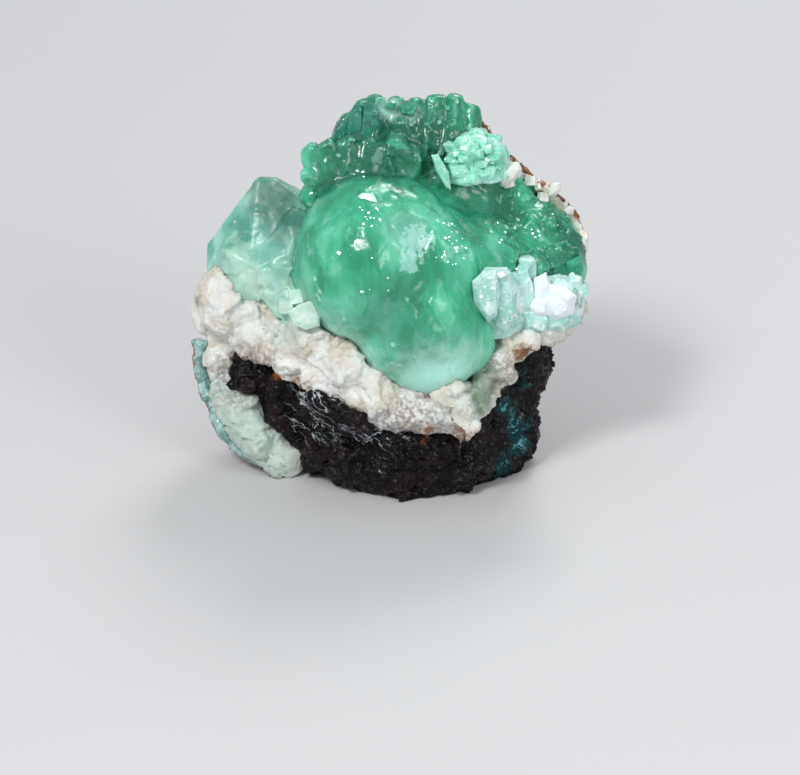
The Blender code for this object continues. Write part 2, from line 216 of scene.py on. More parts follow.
def cells(place, width, shift=0):
    return noise.voronoi(place / width + Vector((shift, 0, shift)))[0]


# Flat facets, each with a tilt of its own, over cells of a width
def facets(place, width, tilt, shift=0, stretch=(1, 1, 1)):
    scaled = place / width + Vector((shift, shift, 0))
    scaled = Vector((scaled.x / stretch[0], scaled.y / stretch[1], scaled.z / stretch[2]))
    middle = noise.voronoi(scaled)[1][0]
    lean = noise.noise_vector(middle * 3.7 + Vector((5.3, 1.1, 2.9)))
    return tilt * width * (lean.dot(scaled - middle) + 0.35 * lean.x)


# Keeps a piece inside the box of the frame. What comes near the sides or the top is pressed together
# over pressDepth, so that no flat faces appear there.
def keepInBox(piece):
    low, high = (np.array(corner) for corner in cadBox)
    places = pointArray(piece.data)
    reach = pressDepth * mm
    for axis, side in ((0, 1), (1, 1), (2, 1), (0, -1), (1, -1)):
        start = (high if side > 0 else low)[axis] - side * reach
        over = np.maximum(0, (places[:, axis] - start) * side)
        pressed = start + side * reach * (1 - np.exp(-over / reach))
        places[:, axis] = np.where(over > 0, pressed, places[:, axis])
    return setPoints(piece, np.clip(places, low, high))


def shade(piece, smooth):
    piece.data.polygons.foreach_set("use_smooth", [smooth] * len(piece.data.polygons))
    piece.data.update()
    return piece


def treeOf(piece):
    form = bmesh.new()
    form.from_mesh(piece.data)
    tree = BVHTree.FromBMesh(form)
    form.free()
    return tree


# The place on a piece that the camera sees at a pixel
def onPiece(tree, x, y):
    place = tree.ray_cast(cameraPlace * mm + frontEdge * mm, sight(x, y).normalized())[0]
    return None if place is None else place / mm - frontEdge


def hull(form, corners):
    verts = [form.verts.new(corner) for corner in corners]
    made = bmesh.ops.convex_hull(form, input=verts)
    inside = made["geom_interior"] + made["geom_unused"]
    spare = {item for item in inside if isinstance(item, bmesh.types.BMVert)}
    if spare:
        bmesh.ops.delete(form, geom=list(spare), context="VERTS")


# A crystal seen as an outline of pixels, with a crown of facets towards the camera
def gem(form, outline, front, back, chance, crown, rise, lean=(0, 0)):
    middleX = sum(x for x, _ in outline) / len(outline)
    middleY = sum(y for _, y in outline) / len(outline)
    corners = []
    for x, y in outline:
        share = crown * chance.uniform(0.8, 1.2)
        inX = middleX + (x - middleX) * share + lean[0]
        inY = middleY + (y - middleY) * share + lean[1]
        backX = middleX + (x - middleX) * backShare
        backY = middleY + (y - middleY) * backShare
        top = front - rise * chance.uniform(0.7, 1.2)
        corners += [at(seen(x, y, front)), at(seen(inX, inY, top)), at(seen(backX, backY, back))]
    hull(form, corners)


# Gems from rows of outline, front depth, back depth and, where each has its own, crown
def gems(form, rows, chance, rise, crown=None):
    for outline, front, back, *own in rows:
        gem(form, outline, front, back, chance, own[0] if own else crown, rise)


# A blocky crystal with its corners cut off
def blockCrystal(form, middle, size, turn, cut):
    corners = []
    for signs in itertools.product((-1, 1), repeat=3):
        for cuts in ((cut, 0, 0), (0, cut, 0), (0, 0, cut)):
            corner = [sign * (1 - part) * 0.5 * side for sign, part, side in zip(signs, cuts, size)]
            corners.append(Vector(corner))
    hull(form, [at(Vector(middle) + turn @ corner) for corner in corners])


def randomTurn(chance, lean):
    axis = Vector([chance.uniform(-1, 1) for _ in range(3)])
    return Matrix.Rotation(math.radians(chance.uniform(-lean, lean)), 3, axis.normalized())


# Blocky crystals at given pixels, depths and sizes in millimetres
def placedBlocks(form, blocks, chance):
    for x, y, depth, size in blocks:
        shape = [size * chance.uniform(0.8, 1.2) for _ in range(3)]
        blockCrystal(form, seen(x, y, depth), shape, randomTurn(chance, 50), chance.uniform(0.1, 0.3))


# Blocks that stand on the surface of a skin, each sunk a little into it
def scatterBlocks(form, skin, count, look, chance, keep):
    faces = skin.data.polygons
    made = tries = 0
    while made < count and tries < count * triesPerBlock:
        tries += 1
        face = faces[chance.randrange(len(faces))]
        place = face.center / mm - frontEdge
        if not keep(place, face.normal):
            continue
        size = chance.uniform(*look["size"])
        shape = (size, size * chance.uniform(0.6, 1), size * chance.uniform(*look["length"]))
        turn = face.normal.to_track_quat("Z", "Y").to_matrix() @ randomTurn(chance, look["lean"])
        middle = place + face.normal * shape[2] * look["stand"]
        blockCrystal(form, middle, shape, turn, chance.uniform(0.15, 0.4))
        made += 1


# Bevelled edges take the material after that of the faces; where that material is lighter, the edges carry a
# painted highlight
def edgeBevel(name, form, width):
    piece = newPiece(name, form)
    for _ in range(2):
        piece.data.materials.append(None)
    bevel = piece.modifiers.new("Edges", "BEVEL")
    bevel.width = width * mm
    bevel.segments = 1
    bevel.limit_method = "ANGLE"
    bevel.angle_limit = math.radians(20)
    bevel.material = 1
    return settled(piece)


# One piece from several: parts go in as (piece, number of its material)
def joined(name, parts):
    form = bmesh.new()
    for piece, number in parts:
        slots = np.zeros(len(piece.data.polygons), np.int32)
        piece.data.polygons.foreach_get("material_index", slots)
        piece.data.polygons.foreach_set("material_index", slots + number)
        absorb(form, piece)
    return newPiece(name, form)


# Finished pieces, kept in the box: a smooth skin, or flat-faced parts with the number of their material
def smoothPiece(name, skin):
    return keepInBox(joined(name, [(shade(skin, True), 0)]))


def flatPiece(name, *parts):
    return keepInBox(joined(name, [(shade(part, False), number) for part, number in parts]))


# Shader helpers


def linear(*channels):
    parts = [channel / 255 for channel in channels]
    return (*(part / 12.92 if part <= 0.04045 else ((part + 0.055) / 1.055) ** 2.4 for part in parts), 1)


class Nodes:
    def __init__(self, tree):
        self.tree = tree

    def add(self, kind, **settings):
        node = self.tree.nodes.new(kind)
        for key, value in settings.items():
            setattr(node, key, value)
        return node

    # A plain number or colour is set on the socket itself
    def link(self, source, target):
        if isinstance(source, bpy.types.NodeSocket):
            self.tree.links.new(source, target)
        else:
            target.default_value = source

    def fill(self, node, values):
        for name, value in values.items():
            self.link(value, node.inputs[name])
        return node

    def math(self, operation, first, second=0):
        node = self.add("ShaderNodeMath", operation=operation)
        return self.fill(node, {0: first, 1: second}).outputs[0]

    def times(self, first, second):
        return self.math("MULTIPLY", first, second)

    def vector(self, operation, first, second):
        node = self.fill(self.add("ShaderNodeVectorMath", operation=operation), {0: first, 1: second})
        return node.outputs["Value" if operation in ("DISTANCE", "DOT_PRODUCT") else "Vector"]

    def mix(self, share, first, second):
        node = self.add("ShaderNodeMix", data_type="RGBA")
        return self.fill(node, {0: share, 6: first, 7: second}).outputs[2]

    def remap(self, value, low, high, to=(0, 1)):
        node = self.add("ShaderNodeMapRange", interpolation_type="SMOOTHSTEP")
        return self.fill(node, {0: value, 1: low, 2: high, 3: to[0], 4: to[1]}).outputs[0]

    def place(self):
        return self.add("ShaderNodeNewGeometry").outputs["Position"]

    def noise(self, place, detail, rough=0.5, warp=0):
        values = {"Vector": place, "Scale": 1, "Detail": detail, "Roughness": rough, "Distortion": warp}
        return self.fill(self.add("ShaderNodeTexNoise"), values).outputs["Fac"]

    # Clouds of a width in millimetres
    def clouds(self, width, detail=3, rough=0.5, warp=0, shift=0):
        moved = self.vector("ADD", self.place(), (shift * mm, shift * mm, -shift * mm))
        return self.noise(self.vector("DIVIDE", moved, (width * mm,) * 3), detail, rough, warp)

    # The place in millimetres, turned by angles in radians
    def turned(self, turn):
        node = self.add("ShaderNodeVectorRotate", rotation_type="EULER_XYZ")
        place = self.vector("DIVIDE", self.place(), (mm, mm, mm))
        return self.fill(node, {"Vector": place, "Rotation": turn}).outputs[0]

    # Noise drawn out along lines that lean to the side by an angle in degrees
    def stretched(self, lean, size, detail):
        place = self.turned((0, math.radians(lean), 0))
        return self.noise(self.vector("DIVIDE", place, size), detail, 0.55, 0.3)

    # From 0 to 1 over a range of depths y in millimetres
    def behind(self, start, end):
        split = self.fill(self.add("ShaderNodeSeparateXYZ"), {0: self.place()})
        return self.remap(split.outputs[1], (start + frontEdge.y) * mm, (end + frontEdge.y) * mm)

    # How much the surface looks in a direction, with a ragged limit
    def facing(self, direction, ragged):
        normal = self.add("ShaderNodeNewGeometry").outputs["Normal"]
        outward = self.vector("DOT_PRODUCT", normal, Vector(direction).normalized())
        wave = self.math("SUBTRACT", self.clouds(1.2, 4), 0.5)
        return self.math("ADD", outward, self.times(wave, ragged))

    def bump(self, height, strength, distance, under=None):
        node = self.add("ShaderNodeBump")
        self.fill(node, {"Height": height, "Strength": strength, "Distance": distance * mm})
        if under is not None:
            self.link(under, node.inputs["Normal"])
        return node.outputs[0]

    def use(self, group, **values):
        return self.fill(self.add("ShaderNodeGroup", node_tree=group), values).outputs


def newGroup(name, inputs, outputs):
    tree = bpy.data.node_groups.new(name, "ShaderNodeTree")
    for socket, kind, value in inputs:
        made = tree.interface.new_socket(name=socket, in_out="INPUT", socket_type="NodeSocket" + kind)
        made.default_value = value
    for socket, kind in outputs:
        tree.interface.new_socket(name=socket, in_out="OUTPUT", socket_type="NodeSocket" + kind)
    n = Nodes(tree)
    return tree, n, n.add("NodeGroupInput").outputs, n.add("NodeGroupOutput").inputs


def makeCrystalTone():
    grey = (0.5, 0.5, 0.5, 1)
    tree, n, given, out = newGroup(
        "crystalTone",
        [
            *((name, "Color", grey) for name in ("Deep", "Middle", "Light", "Veil")),
            ("VeilAmount", "Float", 0.5),
            ("CloudSize", "Vector", (7, 7, 11)),
            ("FibreSize", "Vector", (0.9, 0.9, 9)),
            ("Turn", "Vector", (0, 0, 0)),
        ],
        [("Color", "Color"), ("Fibres", "Float")],
    )
    turned = n.turned(given["Turn"])
    fibres = n.noise(n.vector("DIVIDE", turned, given["FibreSize"]), 2, 0.5, 0.2)
    cloudPlace = n.vector("DIVIDE", turned, given["CloudSize"])
    clouds = n.noise(cloudPlace, 3, 0.45, 0.4)
    smaller = n.vector("MULTIPLY", cloudPlace, (2.1, 2.1, 2.1))
    wisps = n.noise(n.vector("ADD", smaller, (9, 4, 1)), 4, 0.55, 0.6)
    tone = n.math("ADD", n.times(clouds, 0.86), n.times(fibres, 0.14))
    colour = n.mix(n.remap(tone, 0.34, 0.50), given["Deep"], given["Middle"])
    colour = n.mix(n.remap(tone, 0.48, 0.64), colour, given["Light"])
    veil = n.times(n.remap(wisps, 0.55, 0.72), given["VeilAmount"])
    n.link(n.mix(veil, colour, given["Veil"]), out["Color"])
    n.link(fibres, out["Fibres"])
    return tree


# A soft blot around a place, from 1 inside to 0 outside, with a ragged edge
def makeSoftSpot():
    tree, n, given, out = newGroup(
        "softSpot",
        [
            ("Middle", "Vector", (0, 0, 0)),
            ("Radius", "Float", 0.005),
            ("Softness", "Float", 0.5),
            ("Ragged", "Float", 0.5),
            ("Grain", "Float", 0.003),
        ],
        [("Mask", "Float")],
    )
    away = n.vector("DISTANCE", n.place(), given["Middle"])
    wave = n.noise(n.vector("DIVIDE", n.place(), given["Grain"]), 3, 0.55)
    wave = n.times(n.math("SUBTRACT", wave, 0.5), n.times(given["Ragged"], 2))
    reach = n.math("ADD", n.math("DIVIDE", away, given["Radius"]), wave)
    low = n.math("SUBTRACT", 1, given["Softness"])
    high = n.math("ADD", 1, given["Softness"])
    n.link(n.remap(reach, low, high, (1, 0)), out["Mask"])
    return tree


# Crisp little facets: each cell slopes its own way
def makeFacetRelief():
    tree, n, given, out = newGroup("facetRelief", [("Size", "Float", 0.001)], [("Height", "Float")])
    place = n.vector("DIVIDE", n.place(), given["Size"])
    cell = n.fill(n.add("ShaderNodeTexVoronoi"), {"Vector": place, "Scale": 1}).outputs
    lean = n.vector("SUBTRACT", cell["Color"], (0.5, 0.5, 0.5))
    n.link(n.vector("DOT_PRODUCT", lean, n.vector("SUBTRACT", place, cell["Position"])), out["Height"])
    return tree


crystalTone = makeCrystalTone()
softSpot = makeSoftSpot()
facetRelief = makeFacetRelief()


def newMaterial(name):
    material = bpy.data.materials.new(name)
    material.use_nodes = True
    return material, Nodes(material.node_tree), material.node_tree.nodes["Principled BSDF"]


# Relief of facets of a size in millimetres
def faceted(n, size, strength, distance, under=None):
    return n.bump(n.use(facetRelief, Size=size * mm)["Height"], strength, distance, under)


def spotMask(n, middle, radius, softness, ragged, grain):
    sizes = {"Middle": at(middle), "Radius": radius * mm, "Grain": grain * mm}
    return n.use(softSpot, Softness=softness, Ragged=ragged, **sizes)["Mask"]


# Paints soft spots, given as middle, radius and amount, where the mask within lets them show
def spotted(n, colour, spots, tint, softness, ragged, grain=2.4, within=None):
    for middle, radius, amount in spots:
        mask = spotMask(n, middle, radius, softness, ragged, grain)
        if within is not None:
            mask = n.times(mask, within)
        colour = n.mix(n.times(mask, amount), colour, tint)
    return colour


def dress(piece, materials, slot, *replaced):
    for material in materials:
        piece.data.materials.append(material)
    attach(piece, "root")
    if replaced:
        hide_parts(*replaced)
    print(piece.name, len(piece.data.polygons), "faces")


# Apophyllite: cloudy where it is full of fibres, clear where single crystals stand free

greens = {
    "deep": linear(54, 160, 122),
    "middle": linear(68, 188, 148),
    "light": linear(110, 214, 178),
    "veil": linear(200, 248, 236),
    "dark": linear(30, 108, 84),
    "frost": linear(206, 250, 244),
    "refraction": 1.536,
    "gloss": (0.14, 0.34),
    "glowReach": 3,
    "glowColour": (0.4, 1, 0.8),
    "through": 0.12,
    "turn": (0, 0, 0),
    "darker": [],
    "streaks": [],
    "paler": [],
    "frosted": [],
}


# The three tones of a piece's crystals
def tonesOf(look):
    return look["deep"], look["middle"], look["light"]


# Crystal full of fibres and clouds, with darker, streaked, paler and frosted places painted over it, some of
# the darker ones painted shade, and painted light along its convex edges. A piece's own values take the
# place of those in greens.
def cloudyCrystal(name, own):
    look = {**greens, **own}
    material, n, shader = newMaterial(name)
    tones = {name: look[name.lower()] for name in ("Deep", "Middle", "Light", "Veil")}
    turn = tuple(math.radians(angle) for angle in look["turn"])
    tone = n.use(crystalTone, VeilAmount=look["veilAmount"], Turn=turn, **tones)
    colour = spotted(n, tone["Color"], look["darker"], look["dark"], 0.6, 0.3)
    if look["streaks"]:
        lines = n.remap(n.stretched(look["streakLean"], look["streakSize"], 3), 0.50, 0.66)
        colour = spotted(n, colour, look["streaks"], look["dark"], 0.5, 0.3, within=lines)
    colour = spotted(n, colour, look["paler"], look["veil"], 0.55, 0.4)
    colour = spotted(n, colour, look["frosted"], look["frost"], 0.12, 1.1, 1.3)
    # Convex edges are mixed toward the veil colour: painted light, as where light shines through thin
    # crystal edges
    point = n.add("ShaderNodeNewGeometry").outputs["Pointiness"]
    size, depth = look["facet"]
    fine = faceted(n, size * 0.37, depth, 0.12, faceted(n, size, depth, 0.25))
    n.fill(shader, {
        "Base Color": n.mix(n.times(n.remap(point, 0.52, 0.60), 0.6), colour, look["veil"]),
        "Roughness": n.remap(n.clouds(2.4, 5, 0.6, 0.5, 6), 0.44, 0.66, look["gloss"]),
        "IOR": look["refraction"],
        "Subsurface Weight": 1,
        "Subsurface Radius": look["glowColour"],
        "Subsurface Scale": look["glowReach"] * mm,
        "Transmission Weight": look["through"],
        "Normal": n.bump(tone["Fibres"], 0.25, 0.12, fine),
    })
    return material


# Single crystals that are only a little cloudy, and the painted highlights along their edges
def milkyCrystal(name, colours, gloss=(0.1, 0.3)):
    material, n, shader = newMaterial(name)
    deep, light, veil = colours
    colour = n.mix(n.remap(n.clouds(3.4, 3, 0.5, 0.6, 2), 0.42, 0.58), deep, light)
    n.fill(shader, {
        "Base Color": n.mix(n.remap(n.clouds(1.1, 4, 0.6, 1, 5), 0.54, 0.68), colour, veil),
        "Roughness": n.remap(n.clouds(1.5, 4, 0.6, 0.5, 1), 0.45, 0.65, gloss),
        "IOR": greens["refraction"],
        "Normal": n.bump(n.clouds(0.8, 3), 0.2, 0.1, faceted(n, 0.7, 0.35, 0.12)),
    })
    return material


# Clear crystal with a few wisps, which takes up a little of some colours
def clearCrystal(name, look):
    material, n, shader = newMaterial(name)
    wisps = n.clouds(1.6, 5, 0.6, 1.2, 3)
    n.fill(shader, {
        "Base Color": n.mix(n.remap(wisps, 0.45, 0.7), look["tint"], greens["veil"]),
        "Roughness": n.remap(wisps, 0.4, 0.75, look["gloss"]),
        "IOR": greens["refraction"],
        "Transmission Weight": 0.7,
        "Normal": faceted(n, 1.1, 0.25, 0.15),
    })
    volume = n.add("ShaderNodeVolumeAbsorption")
    n.fill(volume, {"Color": look["absorbed"], "Density": look["density"]})
    n.link(volume.outputs[0], n.tree.nodes["Material Output"].inputs["Volume"])
    return material


# The green crystals that grew into each other: the great ball, the two tiers of the crest
# behind it and the wing at the right. Their relief changes from zone to zone by place.

keyPlace = Vector((-0.35, -0.55, 0.72))
growth = {
    "skin": {
        "voxel": 0.38,
        "rounds": 2,
        "swell": 0.4,
        "sink": 1.4,
        "fillSink": 0.3,
        "nodeRounds": {"apophyllite_ball": 40, "apophyllite_crest": 3, "apophyllite_fan": 4},
        "closings": [
            (["apophyllite_ball", "apophyllite_fan"], 6),
            (["apophyllite_ball", "apophyllite_crest", "apophyllite_fan"], 1.5),
        ],
        "fillers": [((-14.6, 28, 54), 3.4)],
    },
    "plateTones": (linear(46, 140, 110), linear(66, 166, 134), linear(110, 204, 176)),
    "leafTones": (linear(36, 108, 90), linear(56, 140, 118), linear(104, 184, 162)),
    "edgeHighlightTones": (linear(96, 200, 168), linear(130, 220, 192), linear(180, 240, 222)),
    "sparkTones": (linear(150, 232, 204), linear(190, 244, 226), linear(236, 253, 248)),
    "leafGloss": (0.05, 0.25),
    "sparkGloss": (0.02, 0.1),
    "veilAmount": 0.35,
    "turn": (8, 5, 0),
    "facet": (1.8, 0.3),
    "streakLean": -38,
    "streakSize": (14, 5, 0.9),
    "paler": [
        ((8.8, -3, 27), 8, 0.75), ((15, 0, 30), 5, 0.4), ((-12.6, 1.3, 36), 7, 0.3),
        ((-7, -2, 29), 6, 0.6), ((0.4, 27.6, 73), 2.2, 0.85), ((4.4, 27.6, 72.4), 2, 0.5),
        ((4, 2, 58), 5, 0.25),
    ],
    "frosted": [((6.4, 1.6, 56), 3.6, 0.55), ((5, -0.6, 52), 2.6, 0.5), ((-2, 19, 66), 1.4, 0.25)],
    # Darker places; the two at (18.5, 22, 54) and (24, 22, 52) are painted shade in the hollow between the
    # ridge and the cluster
    "darker": [
        ((0, -4, 42), 7, 0.45), ((8, -4, 36), 6, 0.3), ((18.5, 22, 54), 7, 0.6), ((24, 22, 52), 4, 0.4),
        ((33, 18, 42), 5, 0.6), ((38, 22, 46), 4, 0.9), ((34, 24, 52), 4, 0.7), ((4, 28, 69), 15, 0.55),
        ((4, 26, 67), 7, 0.7), ((-9, 27, 67), 6, 0.9), ((-6, 20, 63), 8, 0.6), ((-2, 19, 63), 4, 0.4),
        ((-12, 18, 60), 4, 0.5), ((10, 27, 66), 5, 0.6),
    ],
    "streaks": [
        ((4, 14, 63), 4.5, 0.8), ((9, 13, 60), 4.5, 0.9), ((15, 13, 56), 4.5, 0.9),
        ((21, 14, 51), 4.5, 0.8), ((27, 16, 46), 4, 0.6),
    ],
    "glints": [
        ((367, 199), 1.9, 1), ((339, 253), 0.8, 1), ((370, 215), 2.6, 16), ((448, 227), 1.4, 6),
        ((452, 252), 3.4, 22), ((376, 280), 6, 5), ((540, 225), 4, 10), ((350, 172), 3, 4),
        ((500, 230), 5, 8),
    ],
    "glintSize": (0.18, 0.5),
    "leaves": [
        (
            [(331, 142), (335, 132), (342, 127), (348, 120), (349, 112), (354, 106), (358, 122), (350, 142)],
            26,
            28,
        ),
        ([(346, 142), (350, 114), (355, 105), (360, 102), (363, 107), (362, 142)], 25.2, 28),
        ([(361, 142), (364, 104), (366, 100), (374, 98), (378, 109), (380, 122), (374, 142)], 24.6, 27.5),
    ],
    "plates": [
        ([(398, 106), (412, 102), (417, 108), (414, 116), (401, 113)], 27, 31.5),
        ([(386, 143), (391, 138), (398, 139), (410, 149), (406, 153), (390, 151)], 20.4, 26),
        ([(384, 108), (390, 100), (396, 102), (394, 110)], 27, 31),
        ([(566, 262), (582, 254), (582, 270), (577, 288), (570, 286)], 19, 24),
    ],
    "crumbs": [
        (24, (0.4, 0.9), lambda place, normal: place.z > 70 and place.y > 24 and normal.z > 0.3),
        (20, (0.4, 0.8), lambda place, normal: 64 < place.z < 69 and place.y < 23 and normal.z > 0.4),
        (14, (0.5, 1.1), lambda place, normal: place.x < -14 and place.z > 57 and place.y > 17),
        (16, (0.4, 0.9), lambda place, normal: place.x > 24 and place.z > 44 and -0.9 < normal.y < 0.5),
    ],
}


# Small flat faces that flash the key light towards the camera
def glints(form, piece, look, chance):
    tree = treeOf(piece)
    flash = (toCamera + keyPlace.normalized()).normalized()
    for (x, y), spread, count in look["glints"]:
        for _ in range(count):
            reach = spread * pixelsPerMm * math.sqrt(chance.random()) if count > 1 else 0
            angle = chance.uniform(0, 2 * math.pi)
            place = onPiece(tree, x + reach * math.cos(angle), y + reach * math.sin(angle))
            if place is None:
                continue
            size = chance.uniform(*look["glintSize"]) if count > 1 else spread
            lean = Vector([chance.uniform(-0.05, 0.05) for _ in range(3)])
            face = (flash + lean).normalized()
            turn = face.to_track_quat("Z", "Y").to_matrix()
            corners = []
            sides = chance.choice((4, 5, 6))
            for corner in range(sides):
                around = 2 * math.pi * (corner + chance.uniform(-0.2, 0.2)) / sides
                edge = Vector((math.cos(around) * size * 0.7, math.sin(around) * size * 0.5, 0))
                corners.append(at(place + turn @ edge + face * 0.08))
                corners.append(at(place + turn @ (edge * 1.6) - face * min(size * 0.4, 0.25)))
            hull(form, corners)


def blend(low, high, value):
    share = min(max((value - low) / (high - low), 0), 1)
    return share * share * (3 - 2 * share)


def makeGrowth():
    chance = random.Random(seed)
    grown = ["apophyllite_ball", "apophyllite_crest", "apophyllite_fan"]
    skin = grownSkin("growth_skin", grown, ["apophyllite_cluster", "apophyllite_left"], growth["skin"])
    along = Vector((0.72, -0.3, -0.62)).normalized()
    across = Vector((0.62, 0.2, 0.72)).normalized()

    def height(place):
        crest = blend(60, 63, place.z) * blend(14, 18, place.y)
        side = 1 - blend(-15.5, -12.5, place.x)
        crest = max(crest, side * blend(50, 52, place.z) * blend(18, 21, place.y))
        wing = blend(19, 25, place.x) * (1 - crest)
        ball = 1 - crest - wing
        streak = Vector((place.dot(along) / 9, place.dot(across) / 1.3, place.y / 5))
        ridge = blend(4, 12, place.x) * blend(46, 54, place.z) * (1 - crest)
        rise = ball * (0.5 * ripple(place, 9, 3) + 0.2 * ripple(place, 3.2, 5))
        rise += ball * (facets(place, 6, 0.10, 2, (1, 1, 1.8)) + facets(place, 2.2, 0.06, 6))
        rise += ridge * 0.3 * noise.noise(streak)
        if crest > 0:
            leaf = Vector((place.x, place.y * 0.6, place.z * 0.4))
            rise += crest * (facets(leaf, 2.6, 0.30, 1) + facets(place, 1.3, 0.18, 4))
            rise += crest * 0.3 * ripple(place, 3.4, 2)
        if wing > 0:
            plates = facets(place, 3.4, 0.24, 1) + facets(place, 1.6, 0.14, 3)
            rise += wing * (plates + 0.25 * ripple(place, 4))
        return rise

    carve(skin, height)
    form = bmesh.new()
    glints(form, skin, growth, chance)
    sparks = newPiece("glints", form)
    form = bmesh.new()
    gems(form, growth["plates"], chance, 0.5, 0.78)
    for count, size, keep in growth["crumbs"]:
        look = {"size": size, "length": (0.5, 1.2), "stand": -0.1, "lean": 50}
        scatterBlocks(form, skin, count, look, chance, keep)
    plates = edgeBevel("plates", form, 0.07)
    form = bmesh.new()
    gems(form, growth["leaves"], chance, 0.3, 0.88)
    leaves = edgeBevel("leaves", form, 0.09)
    crystals = flatPiece("apophyllite_green_crystals", (plates, 0), (leaves, 2), (sparks, 4))
    # The edge materials are lighter than the plates and leaves: painted highlights along the bevelled edges
    materials = [
        milkyCrystal("green_plates", growth["plateTones"]),
        milkyCrystal("green_plate_edge_highlights", growth["edgeHighlightTones"]),
        milkyCrystal("green_leaves", growth["leafTones"], growth["leafGloss"]),
        milkyCrystal("green_leaf_edge_highlights", growth["plateTones"], growth["leafGloss"]),
        milkyCrystal("green_sparks", growth["sparkTones"], growth["sparkGloss"]),
    ]
    dress(crystals, materials, "green_apophyllite")
    skin = smoothPiece("apophyllite_green_growth", skin)
    dress(skin, [cloudyCrystal("green_crystal", growth)], "green_apophyllite", *grown)


# The mint cluster at the upper right

cluster = {
    "skin": (0.3, 4, 0.7),
    "deep": linear(134, 218, 190),
    "middle": linear(164, 234, 212),
    "light": linear(212, 248, 238),
    "glowReach": 0.8,
    "through": 0,
    "veilAmount": 0.6,
    "facet": (0.9, 0.5),
    "tileGloss": (0.05, 0.2),
    "lowerEnd": (57, 60),
    "leftEnd": (10.5, 12.5),
    "pushBack": 5,
    "edgeHighlightTones": (linear(176, 238, 220), linear(200, 245, 232), linear(232, 252, 247)),
    "middlePixel": (472, 155),
    "reach": (27, 18),
    "depth": (21.2, 24.6),
    "tiles": 15,
    "step": 2.4,  # radians from tile to tile
    "tileCorners": (
        (0.6, 1.9, 3.3, 4.2, 5.5),
        (0.5, 1.5, 2.7, 3.7, 4.4, 5.7),
        (0.7, 2.3, 3.9, 5.4),
    ),
    "tileSize": (7, 12),
    "glints": [((470, 155), 5, 16), ((464, 148), 1, 1), ((486, 160), 0.9, 1)],
    "glintSize": (0.15, 0.5),
    "plates": [
        ([(449, 166), (466, 163), (470, 172), (463, 181), (451, 178)], 20.8, 27),
        ([(484, 165), (497, 167), (495, 178), (489, 183), (482, 177)], 21.5, 27),
        ([(462, 146), (470, 141), (479, 145), (478, 155), (468, 158), (460, 153)], 21.2, 27),
    ],
    "blades": [([(431, 155), (438, 154), (449, 172), (451, 190), (446, 188), (436, 172)], 18.6, 23)],
    "crumbs": {"size": (0.8, 2), "length": (0.5, 0.9), "stand": -0.25, "lean": 35},
}


def makeCluster():
    chance = random.Random(seed + 3)
    skin = denseSkin("cluster_skin", "apophyllite_cluster", *cluster["skin"])
    carve(skin, lambda place: facets(place, 3.4, 0.4, 1) + facets(place, 1.7, 0.2, 4))
    places = pointArray(skin.data)
    for number, vert in enumerate(skin.data.vertices):
        place = vert.co / mm - frontEdge
        lower = 1 - blend(*cluster["lowerEnd"], place.z)
        side = 1 - blend(*cluster["leftEnd"], place.x)
        places[number][1] += cluster["pushBack"] * mm * max(lower, side)
    setPoints(skin, places)
    form = bmesh.new()
    middleX, middleY = cluster["middlePixel"]
    reachX, reachY = cluster["reach"]
    near, far = cluster["depth"]
    for number in range(cluster["tiles"]):
        out = math.sqrt((number + 0.5) / cluster["tiles"])
        x = middleX + reachX * out * math.cos(number * cluster["step"])
        y = middleY + reachY * out * math.sin(number * cluster["step"])
        size = chance.uniform(*cluster["tileSize"])
        turn = chance.uniform(-0.5, 0.5)
        corners = [turn + angle for angle in chance.choice(cluster["tileCorners"])]
        outline = [(x + size * math.cos(a), y + size * 0.75 * math.sin(a)) for a in corners]
        front = near + (far - near) * out * out + chance.uniform(-0.5, 0.5)
        lean = (chance.uniform(-4, 4), chance.uniform(-4, 4))
        gem(form, outline, front, front + 4, chance, 0.5, 1.5, lean)
    gems(form, cluster["plates"], chance, 0.9, 0.7)
    tiles = edgeBevel("tiles", form, 0.07)
    form = bmesh.new()
    scatterBlocks(form, skin, 30, cluster["crumbs"], chance, lambda place, normal: place.z > 60)
    crumbs = edgeBevel("crumbs", form, 0.1)
    form = bmesh.new()
    gems(form, cluster["blades"], chance, 0.6, 0.7)
    blades = edgeBevel("blades", form, 0.07)
    form = bmesh.new()
    glints(form, tiles, cluster, chance)
    sparks = newPiece("sparks", form)
    tiles = flatPiece("apophyllite_cluster_tiles", (crumbs, 0), (tiles, 0), (blades, 0), (sparks, 1))
    # The second material is lighter than the tiles: painted highlights on the bevelled edges and the glints
    materials = [
        milkyCrystal("mint_tiles", tonesOf(cluster), cluster["tileGloss"]),
        milkyCrystal("mint_tile_edge_highlights", cluster["edgeHighlightTones"], cluster["tileGloss"]),
    ]
    dress(tiles, materials, "mint_apophyllite")
    piece = smoothPiece("apophyllite_cluster_crystals", skin)
    dress(piece, [cloudyCrystal("mint_cluster", cluster)], "mint_apophyllite", "apophyllite_cluster")


# The pointed crystal at the left

